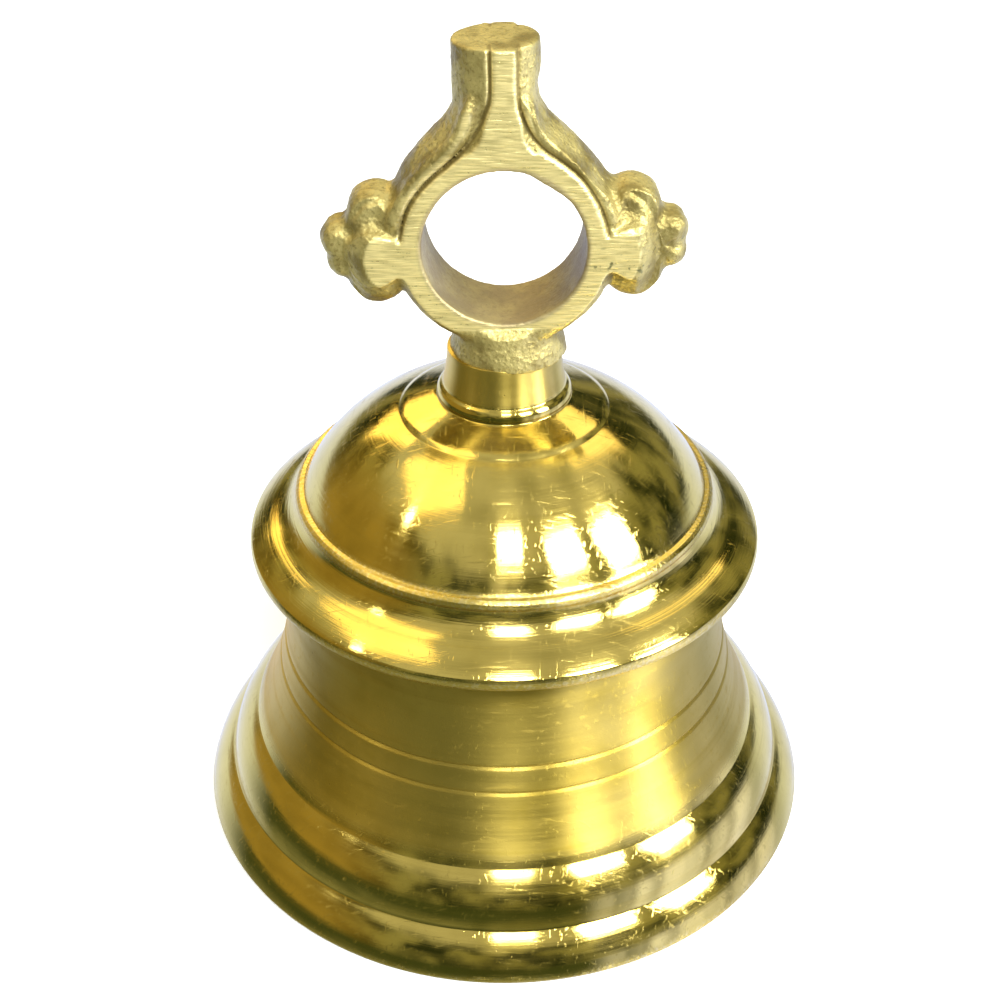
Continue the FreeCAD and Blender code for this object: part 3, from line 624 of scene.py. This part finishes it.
def make_rough_brass():
    """As-cast brass, grainy and dull, brighter and scored where filed; its grooves get painted shade."""
    finish, wire, shader = new_finish("rough brass", Metallic=0.7)
    place = wire.lay("ShaderNodeTexCoord", out="Object")
    filed = wire.lay("ShaderNodeAttribute", {"attribute_name": "filed"}, out="Fac")
    cut_line = wire.lay("ShaderNodeAttribute", {"attribute_name": "cut_line"}, out="Fac")
    hole_wall = wire.lay("ShaderNodeAttribute", {"attribute_name": "hole_wall"}, out="Fac")
    sand = place.grain(950.0, 6.0, Roughness=0.65)
    grit = wire.lay("ShaderNodeTexVoronoi", feeds={"Vector": place, "Scale": 1200.0})
    clouds = place.grain(130.0, 5.0)
    strokes = place.drawn_out((0, 0.04, 0), (0.08, 0.3, 1.0)).grain(2500.0, 4.0)
    across = wire.lay("ShaderNodeSeparateXYZ", feeds={0: place})
    height = across.other(2)
    stain = place.grain(420.0, 3.0).rise(0.60, 0.68)
    stain = stain * (across.rise(*STAIN_REACH) * height.rise(*STAIN_HEAD) * height.rise(*STAIN_FOOT))
    dull = clouds.rise(0.40, 0.66) * (1 - filed * 0.75)
    colour = dye(wire, dull, RAW, RAW_DULL)
    colour = dye(wire, sand.rise(0.50, 0.66) * (1 - filed * 0.7) * 0.75, colour, SAND_DARK)
    colour = dye(wire, filed * (0.35 + strokes.rise(0.30, 0.66) * 0.6), colour, FILED)
    colour = dye(wire, hole_wall * (0.45 + clouds * 0.5), colour, HOLE_WALL)
    # Painted shade: the grooves beside the flats and the valleys by the beads are darkened.
    colour = dye(wire, cut_line.rise(0.25, 0.9) * 0.75, colour, GROOVE_PAINTED_SHADE)
    colour = dye(wire, stain * 0.8, colour, VERDIGRIS)
    join_up(wire, colour, shader, "Base Color")
    rough = 0.44 + (sand - 0.5) * 0.4 - filed * (0.08 - (strokes - 0.5) * 0.4)
    join_up(wire, rough + cut_line * 0.15 + hole_wall * 0.12, shader, "Roughness")
    relief = (sand * 1.1 + grit * 0.6) * (1 - filed * 0.9) * (1 - hole_wall * 0.5) + strokes * filed * 1.1
    bump = wire.lay("ShaderNodeBump", feeds={"Strength": 0.7, "Distance": 0.00028, "Height": relief})
    join_up(wire, bump, shader, "Normal")
    return finish


ROUGH_BRASS = make_rough_brass()
ring.data.materials.clear()
ring.data.materials.append(ROUGH_BRASS)
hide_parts("hanging_ring")
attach(ring, "root")

# --- Bolt, washers and nut under the crown ------------------------------------------------------------------
# A zinc-plated M8 eye bolt comes up through the crown and screws into the ring's foot. A flat washer, a
# spring washer and a hexagon nut pull the ring down hard, and the eye below carries the clapper.

BOLT_TOP = 128.4
EYE_CENTRE = 86.2
EYE_MEAN = 6.0
EYE_WIRE = 2.0
BOLT_RADIUS = 4.0
BOLT_THREAD = (1.25, 0.70, 93.5, 128.0)
BOLT_SIDE = [(2.6, 91.5, 0), (3.3, 92.6, 0), (BOLT_RADIUS, 93.6, 0), (BOLT_RADIUS, BOLT_TOP - 0.8, 0),
             (BOLT_RADIUS - 0.8, BOLT_TOP, 0), (0.0, BOLT_TOP, 0)]
BRIGHT_ZINC, DULL_ZINC = (0.66, 0.67, 0.66), (0.44, 0.45, 0.43)
BLACKENED, WORN_BLACK = (0.16, 0.15, 0.14), (0.05, 0.045, 0.04)


def make_plated_steel(name, bright, dark, roughness):
    """Plated or blackened steel with a fine blotchy coat, rubbed in places."""
    finish, wire, shader = new_finish(name, Metallic=1.0)
    place = wire.lay("ShaderNodeTexCoord", out="Object")
    blotch = place.grain(260.0, 5.0)
    fine = place.grain(1800.0, 3.0)
    join_up(wire, dye(wire, blotch.rise(0.38, 0.66), bright, dark), shader, "Base Color")
    join_up(wire, roughness + (blotch - 0.5) * 0.3 + (fine - 0.5) * 0.15, shader, "Roughness")
    bump = wire.lay("ShaderNodeBump", feeds={"Strength": 0.3, "Distance": 0.0001, "Height": fine + blotch})
    join_up(wire, bump, shader, "Normal")
    return finish


ZINC_STEEL = make_plated_steel("zinc plated steel", BRIGHT_ZINC, DULL_ZINC, 0.34)
BLACK_STEEL = make_plated_steel("blackened steel", BLACKENED, WORN_BLACK, 0.45)


def wire_ring(centre, mean, wire_radius, steps=72, sides=28):
    """A closed ring of round wire with its hole along Y, as points and faces in metres."""
    points, faces = [], []
    for step in range(steps):
        turn = 2 * math.pi * step / steps
        for side in range(sides):
            lap = 2 * math.pi * side / sides
            reach = mean + wire_radius * math.cos(lap)
            points.append((reach * math.cos(turn) * MM, wire_radius * math.sin(lap) * MM,
                           (centre + reach * math.sin(turn)) * MM))
            a, b = step * sides + side, step * sides + (side + 1) % sides
            c, d = ((step + 1) % steps) * sides + (side + 1) % sides, ((step + 1) % steps) * sides + side
            faces.append((a, b, c, d))
    return points, faces


def add_shell(piece, points, faces):
    """Adds a closed skin to a piece, facing outwards."""
    shape = bmesh.new()
    shape.from_mesh(piece.data)
    verts = [shape.verts.new(point) for point in points]
    new_faces = [shape.faces.new([verts[i] for i in face]) for face in faces]
    bmesh.ops.recalc_face_normals(shape, faces=new_faces)
    shape.to_mesh(piece.data)
    shape.free()
    piece.data.shade_smooth()


bolt = turned_piece("eye_bolt_threaded", outline((0.0, 91.5), BOLT_SIDE, 0.16, wear=0.05), 40, ZINC_STEEL,
                    thread=BOLT_THREAD)
add_shell(bolt, *wire_ring(EYE_CENTRE, EYE_MEAN, EYE_WIRE))
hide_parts("eye_bolt")
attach(bolt, "root")


def coat(node, finish):
    """Gives a part of the fixed frame its finish."""
    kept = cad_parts[node]
    kept.data.materials.clear()
    kept.data.materials.append(finish)


coat("crown_washer", ZINC_STEEL)
coat("spring_washer", BLACK_STEEL)
coat("crown_nut", ZINC_STEEL)

# --- Clapper link -------------------------------------------------------------------------------------------
# A closed ring of blackened steel wire that joins the bolt's eye to the clapper's eye, so the clapper can
# swing every way.

coat("clapper_link", BLACK_STEEL)

# --- Clapper rod --------------------------------------------------------------------------------------------
# A forged steel rod, drawn down to an eye at its top and threaded M6 at its foot for the ball and lock nut.

ROD_FOOT = 18.75
ROD_SIDE = [(2.5, ROD_FOOT, 0), (3.0, 19.3, 0), (3.0, 41.75, 0), (2.3, 64.85, 0), (0.0, 65.2, 0)]
ROD_THREAD = (1.0, 0.55, 18.9, 40.6)
ROD_EYE_CENTRE, ROD_EYE_MEAN, ROD_EYE_WIRE = 70.1, 5.25, 1.75

rod = turned_piece("clapper_rod_forged", outline((0.0, ROD_FOOT), ROD_SIDE, 0.2, wear=0.08), 32, BLACK_STEEL,
                   waver=0.18, waver_scale=240.0, seed=8.2, thread=ROD_THREAD)
add_shell(rod, *wire_ring(ROD_EYE_CENTRE, ROD_EYE_MEAN, ROD_EYE_WIRE))
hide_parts("clapper_rod")
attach(rod, "clapper")

# --- Clapper ball and lock nut ------------------------------------------------------------------------------
# A cast brass ball, drilled and tapped from above and spot-faced for the hexagon nut that locks it.

BALL_BOTTOM = 3.0
BALL_RADIUS = 16.0
SEAT = (6.2, 33.75)
DRILL_RADIUS, DRILL_FLOOR = 3.05, 18.7
BALL_SIDE = [(BALL_RADIUS, BALL_BOTTOM + BALL_RADIUS, BALL_RADIUS), (*SEAT, BALL_RADIUS),
             (DRILL_RADIUS, SEAT[1], 0), (DRILL_RADIUS, DRILL_FLOOR, 0), (0.0, DRILL_FLOOR, 0)]
STRUCK, SKIN = (0.80, 0.62, 0.22), (0.50, 0.36, 0.12)


def make_ball_brass():
    """Cast brass, barrel-polished, with a darker struck skin."""
    finish, wire, shader = new_finish("ball brass", Metallic=1.0)
    place = wire.lay("ShaderNodeTexCoord", out="Object")
    clouds = place.grain(150.0, 4.0)
    grain = place.grain(900.0, 4.0)
    knocks = wire.lay("ShaderNodeTexVoronoi", feeds={"Vector": place, "Scale": 190.0}).rise(0.30, 0.12)
    join_up(wire, dye(wire, clouds.rise(0.4, 0.7), STRUCK, SKIN), shader, "Base Color")
    join_up(wire, 0.30 + (grain - 0.5) * 0.3 + knocks * 0.08, shader, "Roughness")
    relief = grain * 0.5 - knocks
    bump = wire.lay("ShaderNodeBump", feeds={"Strength": 0.5, "Distance": 0.00025, "Height": relief})
    join_up(wire, bump, shader, "Normal")
    return finish


BALL_BRASS = make_ball_brass()
ball = turned_piece("clapper_ball_cast", outline((0.0, BALL_BOTTOM), BALL_SIDE, 0.55), 120, BALL_BRASS,
                    waver=0.22, waver_scale=120.0, seed=5.1)
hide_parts("clapper_ball")
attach(ball, "clapper")

coat("ball_lock_nut", ZINC_STEEL)

# --- Floor, light and camera --------------------------------------------------------------------------------
# A plain pale floor that can be looked through from underneath, soft boxes for windows and warm lamps, and a
# plain backdrop. The polished brass mirrors a dim mottled room instead, seen from a little above.

FLOOR_HALF = 9.0
FLOOR_PAINT, FLOOR_GLOW = (0.80, 0.83, 0.88, 1), (0.93, 0.97, 1, 1)


def lay_floor():
    mesh = bpy.data.meshes.new("floor")
    shape = bmesh.new()
    bmesh.ops.create_grid(shape, x_segments=2, y_segments=2, size=FLOOR_HALF)
    shape.to_mesh(mesh)
    shape.free()
    floor = bpy.data.objects.new("floor", mesh)
    bpy.context.scene.collection.objects.link(floor)
    paint = bpy.data.materials.new("pale floor")
    paint.use_nodes = True
    shader = paint.node_tree.nodes["Principled BSDF"]
    for socket, value in (("Base Color", FLOOR_PAINT), ("Roughness", 0.8), ("Emission Color", FLOOR_GLOW),
                          ("Emission Strength", 0.42), ("Specular IOR Level", 0.1)):
        shader.inputs[socket].default_value = value
    wire = Wire(paint.node_tree, shader.outputs[0])
    below = wire.lay("ShaderNodeNewGeometry").other("Backfacing")
    clear = wire.lay("ShaderNodeBsdfTransparent")
    seen = wire.lay("ShaderNodeMixShader", feeds={0: below, 1: wire, 2: clear})
    join_up(wire, seen, paint.node_tree.nodes["Material Output"], "Surface")
    mesh.materials.append(paint)
    floor.visible_glossy = False


lay_floor()

AIM = Vector((0, 0, 0.09))
DAYLIGHT, LAMPLIGHT = (1.0, 1.0, 0.98), (1.0, 0.72, 0.30)
# Name, degrees to the right of the camera's side, degrees up, distance, width, height, watts and colour.
SOFT_BOXES = [
    ("front window", 4, 50, 1.6, 0.32, 0.38, 11.0, DAYLIGHT),
    ("right window", 40, 40, 1.6, 0.44, 0.42, 24.0, DAYLIGHT),
    ("side window", 70, 30, 1.6, 0.44, 0.60, 26.0, (1.0, 1.0, 0.97)),
    ("left lamp", -98, 62, 1.6, 1.0, 0.7, 4.2, (1.0, 0.74, 0.32)),
    ("rear left lamp", -155, 34, 1.8, 1.0, 0.8, 6.5, LAMPLIGHT),
    ("rear right lamp", 150, 50, 1.8, 1.0, 0.9, 4.0, (1.0, 0.78, 0.40)),
    ("left window", -75, 45, 1.6, 0.10, 0.10, 1.0, (1.0, 0.97, 0.9)),
]


def hang_soft_box(name, azimuth, elevation, distance, width, height, power, colour):
    """A rectangular lamp that faces the bell."""
    lamp = bpy.data.lights.new(name, "AREA")
    lamp.shape = "RECTANGLE"
    lamp.size = width
    lamp.size_y = height
    lamp.energy = power
    lamp.color = colour
    light = bpy.data.objects.new(name, lamp)
    bpy.context.scene.collection.objects.link(light)
    turn, rise = math.radians(azimuth), math.radians(elevation)
    away = Vector((math.sin(turn) * math.cos(rise), -math.cos(turn) * math.cos(rise), math.sin(rise)))
    light.location = AIM + away * distance
    light.rotation_euler = away.to_track_quat("Z", "Y").to_euler()


for soft_box in SOFT_BOXES:
    hang_soft_box(*soft_box)

BACKDROP = (0.93, 0.94, 0.95)
SKY_DIM, SKY_BRIGHT = (0.44, 0.44, 0.36), (0.66, 0.66, 0.60)
WALL_DARK, WALL_PALE, WALL_WARM = (0.02, 0.03, 0.012), (0.34, 0.34, 0.20), (0.42, 0.31, 0.09)
GROUND_FAR, GROUND_NEAR = (0.06, 0.08, 0.035), (0.36, 0.37, 0.26)
GROUND_WINDOW, GROUND_BEHIND = (1.15, 1.25, 2.2), (0.95, 1.08, 1.6)


def paint_world():
    """A plain pale backdrop for the camera, and for everything else a soft sky, dim mottled walls that are
    warm at the sides, and a ground with stripes of window light on the right and pale behind."""
    world = bpy.data.worlds.new("studio")
    world.use_nodes = True
    world.node_tree.nodes.clear()
    wire = Wire(world.node_tree)
    way = wire.lay("ShaderNodeTexCoord", out="Generated")
    side = wire.lay("ShaderNodeSeparateXYZ", feeds={0: way})
    front, up = 0 - side.other(1), side.other(2)
    blot = way.grain(4.6, 4.0)
    wall = dye(wire, blot.rise(0.42, 0.62), WALL_DARK, WALL_PALE)
    wall = dye(wire, side.rise(-0.55, -0.95) * (0.4 + blot), wall, WALL_WARM)
    sky = dye(wire, blot.rise(0.35, 0.60), SKY_DIM, SKY_BRIGHT)
    aside = wire.sum("ABSOLUTE", side)
    colour = dye(wire, (up + (blot - 0.5) * 0.35 - aside * 0.35).rise(0.34, 0.52), wall, sky)
    ground = dye(wire, (up + (blot - 0.5) * 0.5).rise(-0.26, -0.62), GROUND_FAR, GROUND_NEAR)
    azimuth = wire.sum("ARCTAN2", side, front)
    stripes = wire.lay("ShaderNodeCombineXYZ", feeds={0: azimuth}).grain(3.2, 3.0)
    window_light = azimuth.rise(0.45, 0.75) * azimuth.rise(2.2, 1.7)
    window_light = window_light * (stripes.rise(0.36, 0.56) * 0.85 + 0.15)
    ground = dye(wire, window_light, ground, GROUND_WINDOW)
    ground = dye(wire, front.rise(-0.10, -0.62), ground, GROUND_BEHIND)
    colour = dye(wire, up.rise(0.03, -0.02), colour, ground)
    colour = dye(wire, wire.lay("ShaderNodeLightPath", out="Is Camera Ray"), colour, BACKDROP)
    glow = wire.lay("ShaderNodeBackground", feeds={"Color": colour, "Strength": 1.0})
    wire.lay("ShaderNodeOutputWorld", feeds={0: glow})
    bpy.context.scene.world = world


paint_world()

CAMERA_PLACE = (0.0, -0.30765, 0.28965)
CAMERA_TILT = math.radians(55.70)

camera_data = bpy.data.cameras.new("camera")
camera_data.lens = 57.55
camera_data.sensor_width = 36.0
camera_data.shift_x = -0.0048
camera_data.clip_start = 0.01
camera = bpy.data.objects.new("camera", camera_data)
camera.location = CAMERA_PLACE
camera.rotation_euler = (CAMERA_TILT, 0, 0)
bpy.context.scene.collection.objects.link(camera)
bpy.context.scene.camera = camera
bpy.context.scene.view_settings.view_transform = "Standard"
